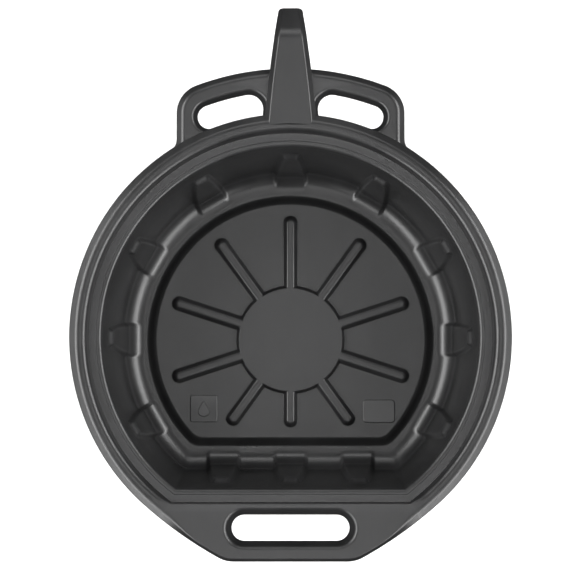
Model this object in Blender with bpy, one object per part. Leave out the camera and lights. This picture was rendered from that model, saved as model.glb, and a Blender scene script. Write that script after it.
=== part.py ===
"""Oil drain pan: a D-shaped bowl with one flat side, three slotted grips and a hook-shaped tongue.

The real pan is one moulding. Here each of its sections is a closed solid of its own, with a small gap to
the next. Units are metres, +Z is up, +Y points along the tongue, and the origin is on the table under the
middle of the pan's bounding box. Shapes are worked out round the bowl's own centre and moved at the end.
"""

import math

import bmesh
import bpy

# Driving dimensions
RIM_RADIUS = 0.200        # outer edge of the round rim, measured across X
OVAL = 1.010              # the pan is this much longer along Y than across X
HEIGHT = 0.125            # table to the top of the rim bead
WALL = 0.003              # moulded thickness
GAP = 0.0003              # between neighbouring sections
SHARP_ANGLE = math.radians(30)
FRONT_EDGE_Y = -0.2027    # flat side's outer edge, from the bowl's centre
TONGUE_TIP_Y = 0.3010     # far end of the tongue, from the bowl's centre
BOWL_Y = -(FRONT_EDGE_Y + TONGUE_TIP_Y) / 2

# Floor and foot
FLOOR_Z = 0.0084          # top of the raised floor
GUTTER_Z = WALL           # top of the gutter round it
FLOOR_RADIUS = 0.126      # where the floor starts to slope down
SLOPE_FOOT_RADIUS = 0.1355
PANEL_EDGE_RADIUS = 0.1360      # where the floor panel ends, in the gutter
FILLET_START_RADIUS = 0.1382
FILLET_RADIUS = 0.020
STAND_INNER_RADIUS = 0.1315
UNDERSIDE_SHIFT = 0.0015        # the underside starts to slope this much further in
HEEL_START = math.radians(25)   # tilts of the fillet where its middle band starts and ends
HEEL_END = math.radians(65)

# Sun-shaped emboss on the floor
RIB_COUNT = 10
RIB_REACH = 0.1175
SHORT_RIB_REACH = {4: 0.0992, 5: 0.0830, 6: 0.0992}
RIB_FOOT_HALF = 0.0076
# Sections of the star's sides as (rib half width, disc radius, height over the floor)
STAR_LEVELS = (
    (RIB_FOOT_HALF, 0.0514, 0.0),
    (0.0042, 0.0495, 0.0034),
    (0.0020, 0.0480, 0.0047),
)

# Wall and mouth
DRAFT = math.radians(7.4)
MOUTH_Z = HEIGHT - 0.0076
MOUTH_ROLL = 0.0045
LEDGE_Z = HEIGHT - 0.007
LEDGE_START = 0.0016      # from the top of the mouth roll to the ledge
BEAD_FOOT_RADIUS = 0.1824

# Flat side: how far inside its circle each ring is cut off by the chord
CHORD_CUT_TOP = 0.0333
CHORD_CUT_BOTTOM = 0.0350

# Wall lugs
LUG_STEP = 30
LUG_DEPTH = 0.0049
LUG_FOOT_DEPTH = 0.0012   # where a lug runs out into the gutter
LUG_TOP_Z = 0.091
LUG_SHELF = 0.0075        # height over which a lug's top slopes back to the wall
LUG_TOP_HALF = 0.0055     # half width at the top, which grows downwards in an arch
LUG_FOOT_HALF = 0.015
LUG_ARCH = 0.6            # power of the arch: 1 would give straight sides
LUG_SIDE = 0.0025         # half the run of a lug's sloping side
LUG_ARCH_LEVELS = (0.040, 0.060, 0.077)   # levels where the arch of a lug's sides is followed
NO_LUG_Z = HEIGHT         # a level over all the lugs
CHORD_LUG_PITCH = 0.063

# Rim bead and skirt
BEAD_ROLL = 0.0065
BEAD_TOP_RADIUS = 0.1896
FLANK = 0.0094            # width of the bead's outer flank
SKIRT = 0.015

# Grips
PLATE_Z = HEIGHT - 0.006
GRIP_OUTER_RADIUS = 0.2439
GRIP_SIDE_X = 0.1035
GRIP_CORNER = 0.027
GRIP_FLARE = 0.013
GRIP_CHAMFER = 0.0065
GRIP_EDGE_Z = PLATE_Z - 0.0045  # foot of the chamfer
GRIP_NOSE = 0.0008        # the chamfer's foot is rounded over this width
FLARE_OVAL = 1.008        # the oval's stretch in the direction of the flares
SLOT_INNER_RADIUS = 0.2023
SLOT_OUTER_RADIUS = 0.2235
SLOT_END_ANGLE = math.radians(20.3)
SLOT_FLARE = 0.0064       # the side grips' slots are this much wider at the top, on each side
FRONT_SLOT_FLARE = 0.0084
SLOT_CORNER = 0.013
SLOT_NEAR_X = -0.0249     # the slot's end beside the tongue
SLOT_FOOT_X = -0.0262     # and the same end at the rim
FRONT_SLOT_Y = -0.1725
FRONT_SLOT_LENGTH = 0.1064
FRONT_SLOT_WIDTH = 0.0234
COLLAR_SHARE = 0.86       # the slot's collar ends inside the plate, at this share of the skirt's depth
CUTTER_MARGIN = 0.2
FRONT_CORNER = 0.029
FRONT_CORNER_ANGLE = math.radians(29)
FRONT_LEAVE_ANGLE = math.radians(42)

# Tongue
TONGUE_BASE_HALF = 0.0231  # half width at the side slope's foot, at TONGUE_BASE_Y
TONGUE_BASE_Y = 0.204
TONGUE_TAPER = 0.095       # half width lost for each metre
TONGUE_BOW = 0.33          # and for each metre squared
TONGUE_SLOPE = 0.0045
TONGUE_DRAFT = 0.0003      # the skirt's foot is this much wider on each side
TONGUE_CORNER = 0.0052
TONGUE_BEND_Y = 0.2690
TONGUE_BEND = math.radians(36)
TONGUE_BEND_RADIUS = 0.020
TONGUE_DEPTH = 0.014


def clear_scene():
    for item in list(bpy.data.objects):
        bpy.data.objects.remove(item, do_unlink=True)


def plastic(name, shade):
    material = bpy.data.materials.new(name)
    material.use_nodes = True
    shader = material.node_tree.nodes["Principled BSDF"]
    shader.inputs["Base Color"].default_value = (shade, shade, shade * 1.03, 1)
    shader.inputs["Roughness"].default_value = 0.45
    shader.inputs["Metallic"].default_value = 0.0
    return material


def add_object(name, mesh, shade=0.035):
    item = bpy.data.objects.new(name, mesh)
    item.location.y = BOWL_Y
    mesh.materials.append(plastic(name + "_plastic", shade))
    bpy.context.collection.objects.link(item)
    return item


def mesh_from(name, build):
    """Makes a mesh from a function that fills a bmesh, with its faces turned out."""
    shape = bmesh.new()
    build(shape)
    bmesh.ops.recalc_face_normals(shape, faces=shape.faces)
    mesh = bpy.data.meshes.new(name)
    shape.to_mesh(mesh)
    shape.free()
    mesh.shade_smooth()
    mesh.set_sharp_from_angle(angle=SHARP_ANGLE)
    return mesh


def bridge(shape, loops, closed):
    """Joins loops of equal length, side by side, with quads."""
    rows = [[shape.verts.new(point) for point in loop] for loop in loops]
    pairs = list(zip(rows, rows[1:]))
    if closed:
        pairs.append((rows[-1], rows[0]))
    count = len(rows[0])
    for near, far in pairs:
        for k in range(count):
            after = (k + 1) % count
            shape.faces.new((near[k], near[after], far[after], far[k]))
    return rows


def arc(centre, radius, start, end, steps):
    """Points on an arc, both ends included. Angles are in radians from +X."""
    points = []
    for k in range(steps + 1):
        angle = start + (end - start) * k / steps
        points.append((centre[0] + radius * math.cos(angle), centre[1] + radius * math.sin(angle)))
    return points


# ---------------------------------------------------------------- the bowl's rings


class Ring:
    """One level line of the bowl: a circle cut by a chord, with two rounded corners."""

    def __init__(self, radius, z, corner):
        share = z / HEIGHT
        cut = CHORD_CUT_BOTTOM + (CHORD_CUT_TOP - CHORD_CUT_BOTTOM) * share
        self.radius = radius
        self.z = z
        self.chord = (radius - cut) / OVAL
        self.corner = corner
        self.corner_y = -(self.chord - corner)
        self.corner_x = math.sqrt((radius - corner) ** 2 - self.corner_y**2)
        self.dip = math.atan2(-self.corner_y, self.corner_x)

    def on_arc(self, angle):
        return (self.radius * math.cos(angle), self.radius * math.sin(angle) * OVAL)

    def on_corner(self, side, share):
        """share runs from 0 on the arc to 1 on the chord; side is -1 for left, 1 for right."""
        angle = self.dip + (math.pi / 2 - self.dip) * share
        x = self.corner_x + self.corner * math.cos(angle)
        y = self.corner_y - self.corner * math.sin(angle)
        return (side * x, y * OVAL)

    def on_chord(self, x):
        return (x, -self.chord * OVAL)


def fillet_point(tilt, thickness=0.0):
    """Radius and height on the wall's inner fillet, or on the outside of it."""
    radius = FILLET_START_RADIUS + (FILLET_RADIUS + thickness) * math.sin(tilt)
    z = GUTTER_Z + FILLET_RADIUS - (FILLET_RADIUS + thickness) * math.cos(tilt)
    return radius, z


def wall_point(z, thickness=0.0):
    """Radius and height on the straight wall at a level, or on the outside of it."""
    foot_radius, foot_z = fillet_point(math.pi / 2 - DRAFT)
    radius = foot_radius + (z - foot_z) * math.tan(DRAFT)
    return radius + thickness, z


def corner_radius(z):
    """The bowl's two corners are tight at the mouth and wide at the floor."""
    low, high = 0.015, 0.003
    share = min(1, max(0, (z - GUTTER_Z) / (MOUTH_Z - GUTTER_Z)))
    return low + (high - low) * share


def lug_half(z):
    """A lug's half width at a level."""
    share = min(1, max(0, (LUG_TOP_Z - z) / LUG_TOP_Z))
    return LUG_TOP_HALF + (LUG_FOOT_HALF - LUG_TOP_HALF) * share**LUG_ARCH


def lug_depth(z):
    """How far a lug stands out of the wall at a level."""
    if z > LUG_TOP_Z:
        return 0.0
    shelf = min(1, (LUG_TOP_Z - z) / LUG_SHELF)
    turned = 1 - min(1, (z - GUTTER_Z) / FILLET_RADIUS)
    fillet = math.sqrt(1 - turned**2)
    return shelf * (LUG_FOOT_DEPTH + (LUG_DEPTH - LUG_FOOT_DEPTH) * fillet)


def lug_columns(half):
    """Places across one lug as (offset from its middle, share of its depth)."""
    edges = [(half + LUG_SIDE, 0), (half - LUG_SIDE, 1)]
    return [(-edges[0][0], 0), (-edges[1][0], 1), (0, 1), (edges[1][0], 1), (edges[0][0], 0)]


def lug_on_arc(ring, middle, depth, half):
    """Points across a lug on the round wall, its face flattened to a plane."""
    points = []
    for offset, share in lug_columns(half):
        turn = offset / ring.radius
        sagitta = ring.radius * (1 - math.cos(turn))
        push = share * max(0, depth - sagitta * depth / LUG_DEPTH)
        x, y = ring.on_arc(middle + turn)
        points.append((x - push * math.cos(middle), y - push * math.sin(middle), ring.z))
    return points


def lug_on_chord(ring, middle, depth, half):
    points = []
    for offset, share in lug_columns(half):
        x, y = ring.on_chord(middle + offset)
        points.append((x, y + share * depth, ring.z))
    return points


def between(near, far):
    """Three evenly spread values between two."""
    return [near + (far - near) * share for share in (0.25, 0.5, 0.75)]


def ring_loop(radius, z, lugs=None):
    """One closed loop of the bowl, anticlockwise from the lug at +X.

    lugs is the height whose lug section the loop follows, or None for a plain loop.
    """
    ring = Ring(radius, z, corner_radius(z))
    depth = 0.0 if lugs is None else lug_depth(lugs)
    half = lug_half(z if lugs is None else lugs)
    margin = (half + LUG_SIDE) / radius
    lug_angles = [math.radians(step * LUG_STEP) for step in (-1, 0, 1, 2, 3, 4, 5, 6, 7)]
    loop = [(*ring.on_arc(angle), z) for angle in between(-ring.dip, lug_angles[0] - margin)]
    for k, middle in enumerate(lug_angles):
        loop += lug_on_arc(ring, middle, depth, half)
        end = math.pi + ring.dip
        if k + 1 < len(lug_angles):
            end = lug_angles[k + 1] - margin
        loop += [(*ring.on_arc(angle), z) for angle in between(middle + margin, end)]
    loop += [(*ring.on_corner(-1, share / 2), z) for share in range(3)]
    for middle in (-CHORD_LUG_PITCH, 0, CHORD_LUG_PITCH):
        loop += lug_on_chord(ring, middle, depth, half)
        if middle < CHORD_LUG_PITCH:
            loop.append((*ring.on_chord(middle + CHORD_LUG_PITCH / 2), z))
    loop += [(*ring.on_corner(1, 1 - share / 2), z) for share in range(3)]
    return loop


def bowl_section(name, section, lugs=False):
    """A solid band of the bowl. section is a closed outline of (radius, z, lug height) points."""

    def build(shape):
        loops = [ring_loop(radius, z, level if lugs else None) for radius, z, level in section]
        bridge(shape, loops, closed=True)

    return add_object(name, mesh_from(name, build))


# ---------------------------------------------------------------- floor


def smooth_step(share):
    return share * share * (3 - 2 * share)


def slope_points(inner, outer, top, bottom, steps):
    """A smooth slope down from the inner radius to the outer one."""
    points = []
    for k in range(steps + 1):
        share = k / steps
        points.append((inner + (outer - inner) * share, top - (top - bottom) * smooth_step(share)))
    return points


def star_outline(half, disc):
    """The disc and its round-ended ribs as one outline."""
    root = math.asin(half / disc)
    points = []
    for rib in range(RIB_COUNT):
        middle = math.pi / 2 + rib * math.tau / RIB_COUNT
        # Rib 0 points to +Y, and the ribs towards the flat side are shorter
        reach = SHORT_RIB_REACH.get(rib, RIB_REACH) - RIB_FOOT_HALF
        centre = (reach * math.cos(middle), reach * math.sin(middle))
        points += arc((0, 0), disc, middle - math.pi / RIB_COUNT, middle - root, 2)
        points += arc(centre, half, middle - math.pi / 2, middle + math.pi / 2, 6)
        points += arc((0, 0), disc, middle + root, middle + math.pi / RIB_COUNT, 2)[:-1]
    return points


def floor_panel():
    """The raised floor, its sloping border, and the star standing on it."""
    top = slope_points(FLOOR_RADIUS, SLOPE_FOOT_RADIUS, FLOOR_Z, GUTTER_Z, 4)
    below = slope_points(
        FLOOR_RADIUS - UNDERSIDE_SHIFT, STAND_INNER_RADIUS, FLOOR_Z - WALL, GUTTER_Z - WALL, 4
    )
    section = top + [(PANEL_EDGE_RADIUS, GUTTER_Z), (PANEL_EDGE_RADIUS, 0.0)] + below[::-1]

    def build(shape):
        rows = bridge(shape, [ring_loop(radius, z) for radius, z in section], closed=False)
        shape.faces.new(rows[0])
        shape.faces.new(rows[-1])

    plate = add_object("floor_panel", mesh_from("floor_panel", build))

    def build_star(shape):
        levels = [(*STAR_LEVELS[0][:2], -WALL / 2), *STAR_LEVELS]
        loops = []
        for half, disc, height in levels:
            loops.append([(x, y, FLOOR_Z + height) for x, y in star_outline(half, disc)])
        rows = bridge(shape, loops, closed=False)
        shape.faces.new(rows[0])
        shape.faces.new(rows[-1])

    join(plate, cutter("star_tool", mesh_from("star_tool", build_star)), "UNION")
    return plate


# ---------------------------------------------------------------- Booleans


def cutter(name, mesh):
    item = bpy.data.objects.new(name, mesh)
    item.location.y = BOWL_Y
    item.hide_render = True
    item.display_type = "WIRE"
    bpy.context.collection.objects.link(item)
    return item


def join(target, tool, operation):
    modifier = target.modifiers.new(tool.name, "BOOLEAN")
    modifier.operation = operation
    modifier.solver = "EXACT"
    modifier.object = tool


def prism(name, outline, low, high, top_outline=None):
    """A cutter between two levels, straight unless its top has an outline of its own."""

    def build(shape):
        outlines = ((outline, low), (top_outline or outline, high))
        loops = [[(x, y, z) for x, y in points] for points, z in outlines]
        rows = bridge(shape, loops, closed=False)
        shape.faces.new(rows[0])
        shape.faces.new(rows[-1])

    return cutter(name, mesh_from(name, build))


# ---------------------------------------------------------------- foot, wall, ledge


def fillet_band(first, last, steps=3):
    """The fillet's inner and outer skins between two cuts, as (radius, z, lug height) points.

    A cut is a radius. None stands for the fillet's upper end, where the straight wall starts.
    """
    skins = []
    for thickness in (0.0, WALL):
        tilts = []
        for cut in (first, last):
            if cut is None:
                tilts.append(math.pi / 2 - DRAFT)
            else:
                tilts.append(math.asin((cut - FILLET_START_RADIUS) / (FILLET_RADIUS + thickness)))
        skin = []
        for k in range(steps + 1):
            tilt = tilts[0] + (tilts[1] - tilts[0]) * k / steps
            skin.append(fillet_point(tilt, thickness))
        skins.append(skin)
    levels = [z for radius, z in skins[0]]
    return [[(*point, level) for point, level in zip(skin, levels)] for skin in skins]


def cut_radius(tilt):
    return fillet_point(tilt)[0]


def foot_ring():
    """The gutter and the lowest part of the fillet; its flat underside is what the pan stands on."""
    inner = PANEL_EDGE_RADIUS + GAP
    inside, outside = fillet_band(FILLET_START_RADIUS, cut_radius(HEEL_START))
    inside = [(inner, GUTTER_Z, NO_LUG_Z)] + inside
    outside = [(inner, 0.0, NO_LUG_Z)] + outside
    return bowl_section("foot_ring", inside + outside[::-1], lugs=True)


def heel_ring():
    """The steep middle of the fillet."""
    inside, outside = fillet_band(cut_radius(HEEL_START) + GAP, cut_radius(HEEL_END))
    return bowl_section("heel_ring", inside + outside[::-1], lugs=True)


def bowl_wall():
    """The fillet's upper end, the drafted wall with its lugs, and the rolled mouth."""
    inside, outside = fillet_band(cut_radius(HEEL_END) + GAP, None, steps=2)
    roll_foot = MOUTH_Z - MOUTH_ROLL * (1 - math.sin(DRAFT))
    for z in (*LUG_ARCH_LEVELS, LUG_TOP_Z - LUG_SHELF, LUG_TOP_Z):
        inside.append((*wall_point(z), z))
        # The outside follows one wall thickness lower, so that a lug's shelf is as thick as its face
        outside.append((*wall_point(z - WALL, WALL), z))
    inside.append((*wall_point(roll_foot), NO_LUG_Z))
    outside.append((*wall_point(LEDGE_Z - WALL, WALL), NO_LUG_Z))
    centre = wall_point(roll_foot)[0] + MOUTH_ROLL * math.cos(DRAFT)
    for tilt in (55, 25, 0):
        angle = math.radians(tilt)
        z = MOUTH_Z - MOUTH_ROLL * (1 - math.cos(angle))
        inside.append((centre - MOUTH_ROLL * math.sin(angle), z, NO_LUG_Z))
    edge = ledge_start() - GAP
    inside.append((edge, MOUTH_Z, NO_LUG_Z))
    outside.append((edge, LEDGE_Z - WALL, NO_LUG_Z))
    return bowl_section("bowl_wall", inside + outside[::-1], lugs=True)


def ledge_start():
    roll_foot = MOUTH_Z - MOUTH_ROLL * (1 - math.sin(DRAFT))
    return wall_point(roll_foot)[0] + MOUTH_ROLL * math.cos(DRAFT) + LEDGE_START


def mouth_ledge():
    inner = ledge_start()
    outer = BEAD_FOOT_RADIUS - GAP
    low = LEDGE_Z - WALL
    section = [(inner, LEDGE_Z), (outer, LEDGE_Z), (outer, low), (inner, low)]
    return bowl_section("mouth_ledge", [(radius, z, z) for radius, z in section])


# ---------------------------------------------------------------- rim bead and front grip


def front_outline():
    """The flat side's outer edge, from the round rim on the left to the round rim on the right."""
    leave = FRONT_LEAVE_ANGLE
    turn = FRONT_CORNER_ANGLE
    start = (-RIM_RADIUS * math.sin(leave), -RIM_RADIUS * OVAL * math.cos(leave))
    drop = start[1] - FRONT_EDGE_Y - FRONT_CORNER * (1 - math.cos(turn))
    blend = drop / (math.cos(turn) - math.cos(leave))
    left = []
    for k in range(9):
        angle = leave + (turn - leave) * k / 8
        x = start[0] + blend * (math.sin(leave) - math.sin(angle))
        y = start[1] - blend * (math.cos(angle) - math.cos(leave))
        left.append((x, y))
    foot_x = left[-1][0] + FRONT_CORNER * math.sin(turn)
    for k in range(1, 5):
        angle = turn * (1 - k / 4)
        x = foot_x - FRONT_CORNER * math.sin(angle)
        y = FRONT_EDGE_Y + FRONT_CORNER * (1 - math.cos(angle))
        left.append((x, y))
    return left + [(-x, y) for x, y in left[::-1]]


def rim_radius(angle):
    """Distance from the bowl's centre to the round rim in a direction."""
    return 1 / math.hypot(math.cos(angle) / RIM_RADIUS, math.sin(angle) / (RIM_RADIUS * OVAL))


def edge_radius(angle, outline):
    """Distance from the bowl's centre to the outer edge in a direction."""
    direction = (math.cos(angle), math.sin(angle))
    for (x0, y0), (x1, y1) in zip(outline, outline[1:]):
        across = direction[0] * (y1 - y0) - direction[1] * (x1 - x0)
        if abs(across) < 1e-12:
            continue
        reach = (x0 * (y1 - y0) - y0 * (x1 - x0)) / across
        share = (x0 * direction[1] - y0 * direction[0]) / across
        if reach > 0 and 0 <= share <= 1:
            return reach
    return rim_radius(angle)


def polar(radius, angle, z):
    return (radius * math.cos(angle), radius * math.sin(angle), z)


def flank_section(edge):
    """The bead's outer flank and skirt, as (radius, z) from the top down to the skirt's foot."""
    return [
        (edge - FLANK, HEIGHT),
        (edge - 0.0070, HEIGHT - 0.0004),
        (edge - 0.0050, HEIGHT - 0.0013),
        (edge - 0.0010, HEIGHT - 0.0039),
        (edge, HEIGHT - 0.0050),
        (edge, HEIGHT - SKIRT),
        (edge - WALL, HEIGHT - SKIRT),
        (edge - WALL, HEIGHT - 0.0070),
        (edge - 0.0065, HEIGHT - 0.0040),
    ]


def bead_section(foot, edge):
    """The whole bead between its foot on the ledge and its outer edge."""
    top = foot + BEAD_TOP_RADIUS - BEAD_FOOT_RADIUS
    centre_z = HEIGHT - BEAD_ROLL
    inner = [(foot, LEDGE_Z - WALL), (foot, LEDGE_Z)]
    for tilt in (64, 40, 20, 0):
        angle = math.radians(tilt)
        inner.append((top - BEAD_ROLL * math.sin(angle), centre_z + BEAD_ROLL * math.cos(angle)))
    below = [(top, HEIGHT - WALL), (top - 0.0030, HEIGHT - 0.0055), (foot + 0.0028, LEDGE_Z - WALL)]
    return inner + flank_section(edge) + below


def foot_direction():
    """The direction from the centre to the corner where the bead meets the front grip."""
    ring = Ring(BEAD_FOOT_RADIUS, LEDGE_Z, corner_radius(LEDGE_Z))
    x, y = ring.on_corner(1, 0.5)
    return math.atan2(y, x)


def round_foot(angle):
    return 1 / math.hypot(math.cos(angle) / BEAD_FOOT_RADIUS, math.sin(angle) / (BEAD_FOOT_RADIUS * OVAL))


def rim_bead(outline):
    """The bead sweeps round the pan from one front corner to the other."""
    steps = 84
    start = foot_direction() + GAP / BEAD_FOOT_RADIUS
    end = math.pi - start

    def build(shape):
        sections = []
        for k in range(steps + 1):
            angle = start + (end - start) * k / steps
            section = bead_section(round_foot(angle), edge_radius(angle, outline))
            sections.append([polar(radius, angle, z) for radius, z in section])
        rows = bridge(shape, sections, closed=False)
        shape.faces.new(rows[0])
        shape.faces.new(rows[-1])

    return add_object("rim_bead", mesh_from("rim_bead", build))


def stadium(length, width, centre_y, grow=0.0):
    """A slot with round ends, lying along X."""
    radius = width / 2 + grow
    reach = (length - width) / 2
    right = arc((reach, centre_y), radius, -math.pi / 2, math.pi / 2, 8)
    left = arc((-reach, centre_y), radius, math.pi / 2, 3 * math.pi / 2, 8)
    return right + left


def front_grip(outline):
    """The flat side's plate, with a hollow underside and a finger slot that has its own collar."""
    steps = 28
    start = math.pi - foot_direction() + GAP / BEAD_FOOT_RADIUS
    end = 3 * math.pi - start
    ring = Ring(BEAD_FOOT_RADIUS, LEDGE_Z, corner_radius(LEDGE_Z))
    chord_y = ring.chord * OVAL + GAP

    def build(shape):
        sections = []
        for k in range(steps + 1):
            angle = start + (end - start) * k / steps
            foot = chord_y / abs(math.sin(angle))
            top = (chord_y + 0.001) / abs(math.sin(angle))
            edge = edge_radius(angle, outline)
            web = foot + WALL
            section = [(foot, LEDGE_Z - WALL), (foot, HEIGHT - 0.001), (top, HEIGHT)]
            section += flank_section(edge)
            section += [(web, HEIGHT - 0.0040), (web, LEDGE_Z - WALL)]
            sections.append([polar(radius, angle, z) for radius, z in section])
        rows = bridge(shape, sections, closed=False)
        shape.faces.new(rows[0])
        shape.faces.new(rows[-1])

    grip = add_object("front_grip", mesh_from("front_grip", build))
    size = (FRONT_SLOT_LENGTH, FRONT_SLOT_WIDTH, FRONT_SLOT_Y)
    foot = HEIGHT - SKIRT
    wide = stadium(*size, grow=WALL + FRONT_SLOT_FLARE * COLLAR_SHARE)
    collar = prism("front_collar_tool", stadium(*size, grow=WALL), foot, foot + SKIRT * COLLAR_SHARE, wide)
    join(grip, collar, "UNION")
    # The cutter passes both faces of the grip, along the same slant
    below = stadium(*size, grow=-FRONT_SLOT_FLARE * CUTTER_MARGIN)
    above = stadium(*size, grow=FRONT_SLOT_FLARE * (1 + CUTTER_MARGIN))
    low, high = foot - SKIRT * CUTTER_MARGIN, HEIGHT + SKIRT * CUTTER_MARGIN
    join(grip, prism("front_slot_tool", below, low, high, above), "DIFFERENCE")
    return grip


# ---------------------------------------------------------------- the two grips beside the tongue


def tongue_half_width(y):
    along = y - TONGUE_BASE_Y
    return TONGUE_BASE_HALF - TONGUE_TAPER * along - TONGUE_BOW * along**2


def beside_tongue(y):
    """Where a grip stops beside the tongue's skirt."""
    return tongue_half_width(y) + TONGUE_DRAFT + GAP


def grip_outline():
    """The left grip's outer edge, from its flare on the rim to the side of the tongue."""
    rim = RIM_RADIUS * FLARE_OVAL + GAP
    flare_x = -GRIP_SIDE_X - GRIP_FLARE
    flare_y = math.sqrt((rim + GRIP_FLARE) ** 2 - flare_x**2)
    foot = math.atan2(-flare_y, -flare_x)
    points = arc((flare_x, flare_y), GRIP_FLARE, foot * 0.75, 0, 5)
    corner_x = -GRIP_SIDE_X + GRIP_CORNER
    corner_y = math.sqrt((GRIP_OUTER_RADIUS - GRIP_CORNER) ** 2 - corner_x**2)
    turn = math.atan2(corner_y, corner_x)
    points += arc((corner_x, corner_y), GRIP_CORNER, math.pi, turn, 7)
    inner_y = math.sqrt(GRIP_OUTER_RADIUS**2 - TONGUE_BASE_HALF**2)
    inner_x = -beside_tongue(inner_y)
    points += arc((0, 0), GRIP_OUTER_RADIUS, turn, math.atan2(inner_y, inner_x), 8)[1:]
    return points


def slot_outline():
    """The left grip's slot edge, from the tongue end round the top to the rim."""
    middle = (SLOT_INNER_RADIUS + SLOT_OUTER_RADIUS) / 2
    round_end = (SLOT_OUTER_RADIUS - SLOT_INNER_RADIUS) / 2
    end_angle = math.pi / 2 + SLOT_END_ANGLE
    end_centre = (middle * math.cos(end_angle), middle * math.sin(end_angle))
    corner_x = SLOT_NEAR_X - SLOT_CORNER
    corner_y = math.sqrt((SLOT_OUTER_RADIUS - SLOT_CORNER) ** 2 - corner_x**2)
    turn = math.atan2(corner_y, corner_x)
    points = [(SLOT_FOOT_X, SLOT_INNER_RADIUS * 0.992)]
    points += arc((corner_x, corner_y), SLOT_CORNER, 0, turn, 5)
    points += arc((0, 0), SLOT_OUTER_RADIUS, turn, end_angle, 6)[1:]
    points += arc(end_centre, round_end, end_angle, end_angle + math.pi, 8)[1:]
    return points


def inset_points(points, distances):
    """Moves each point of a closed anticlockwise outline inwards by its own distance."""
    moved = []
    count = len(points)
    for k in range(count):
        before = points[k - 1]
        after = points[(k + 1) % count]
        along = (after[0] - before[0], after[1] - before[1])
        length = math.hypot(*along)
        normal = (-along[1] / length, along[0] / length)
        moved.append((points[k][0] + normal[0] * distances[k], points[k][1] + normal[1] * distances[k]))
    return moved


def slot_flare(x, y):
    """How much wider the slot is at the top, which stops short of the tongue and of the rim."""
    beside = (-x - beside_tongue(y)) * 0.45
    return max(0, min(SLOT_FLARE, beside, math.hypot(x, y) - SLOT_INNER_RADIUS))


def side_grip(name, side):
    """A looped grip: an outer edge with a broad chamfer, and a slot edge with a small roll."""
    outer = grip_outline()
    slot = slot_outline()
    rim_end = slot[-1]
    rim_start = outer[0]
    # The foot of the grip follows the rim from the slot's end back to the flare
    angles = (math.atan2(rim_end[1], rim_end[0]), math.atan2(rim_start[1], rim_start[0]))
    foot = []
    for share in (0.25, 0.5, 0.75):
        angle = angles[0] + (angles[1] - angles[0]) * share
        reach = rim_radius(angle) + GAP
        foot.append((reach * math.cos(angle), reach * math.sin(angle)))
    leg_foot = SLOT_INNER_RADIUS * 0.9945
    leg = [(-beside_tongue(y), y) for y in (TONGUE_BASE_Y + 0.018, leg_foot)]
    path = outer + leg + slot + foot
    kinds = [0.0] + [GRIP_CHAMFER] * (len(outer) - 2) + [0.0] * (1 + len(leg))
    flare = [slot_flare(x, y) for x, y in slot[:-1]]
    slot_start = len(outer) + len(leg)
    kinds += flare + [0.0] * (1 + len(foot))
    path = path[::-1]
    levels = []
    nose = GRIP_NOSE / GRIP_CHAMFER
    heights = (HEIGHT - SKIRT, GRIP_EDGE_Z, GRIP_EDGE_Z + GRIP_NOSE, PLATE_Z)
    for z, chamfer in zip(heights, (0, 0, nose, 1)):
        flared = (z - HEIGHT + SKIRT) / (PLATE_Z - HEIGHT + SKIRT)
        insets = [kind * (chamfer if k < slot_start else flared) for k, kind in enumerate(kinds)]
        levels.append((inset_points(path, insets[::-1]), z))

    def build(shape):
        loops = [[(side * x, y, z) for x, y in outline] for outline, z in levels]
        rows = bridge(shape, loops, closed=False)
        shape.faces.new(rows[0])
        shape.faces.new(rows[-1])

    grip = add_object(name, mesh_from(name, build))
    join(grip, grip_hollow(name + "_hollow_tool", side), "DIFFERENCE")
    return grip


def grip_hollow(name, side):
    """The space under the grip's bar, open at the bottom."""
    low = SLOT_OUTER_RADIUS + SLOT_FLARE + WALL / 2
    high = GRIP_OUTER_RADIUS - 1.5 * WALL
    start = math.pi / 2 + math.radians(8)
    end = math.pi / 2 + math.radians(20)
    outline = arc((0, 0), high, start, end, 6) + arc((0, 0), low, end, start, 6)
    mesh_outline = [(side * x, y) for x, y in outline]
    return prism(name, mesh_outline, HEIGHT - 0.03, PLATE_Z - WALL)


# ---------------------------------------------------------------- tongue


def bend_tip(y, z):
    """Rolls the tongue's far end down over an arc, then straight on."""
    if y <= TONGUE_BEND_Y:
        return y, z
    along = y - TONGUE_BEND_Y
    angle = min(along / TONGUE_BEND_RADIUS, TONGUE_BEND)
    rest = along - angle * TONGUE_BEND_RADIUS
    rise = z - HEIGHT + TONGUE_BEND_RADIUS
    bent_y = TONGUE_BEND_Y + rise * math.sin(angle) + rest * math.cos(angle)
    bent_z = HEIGHT - TONGUE_BEND_RADIUS + rise * math.cos(angle) - rest * math.sin(angle)
    return bent_y, bent_z


def flat_tip_y():
    """How long the tongue is before its tip is rolled down, so that the tip ends where it should."""
    arc_y = TONGUE_BEND_RADIUS * math.sin(TONGUE_BEND)
    rest = (TONGUE_TIP_Y - TONGUE_BEND_Y - arc_y) / math.cos(TONGUE_BEND)
    return TONGUE_BEND_Y + TONGUE_BEND_RADIUS * TONGUE_BEND + rest


def tongue_stations():
    """(y, half width) along the tongue, rounded at the tip."""
    tip = flat_tip_y()
    round_start = tip - TONGUE_CORNER
    flat = [0.184, 0.203, 0.225, 0.250, TONGUE_BEND_Y]
    flat += [TONGUE_BEND_Y + (round_start - TONGUE_BEND_Y) * share / 4 for share in range(1, 5)]
    stations = [(y, tongue_half_width(y)) for y in flat]
    end_half = stations[-1][1]
    for turn in (35, 60, 78, 90):
        angle = math.radians(turn)
        y = round_start + TONGUE_CORNER * math.sin(angle)
        stations.append((y, end_half - TONGUE_CORNER * (1 - math.cos(angle))))
    return stations


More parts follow.
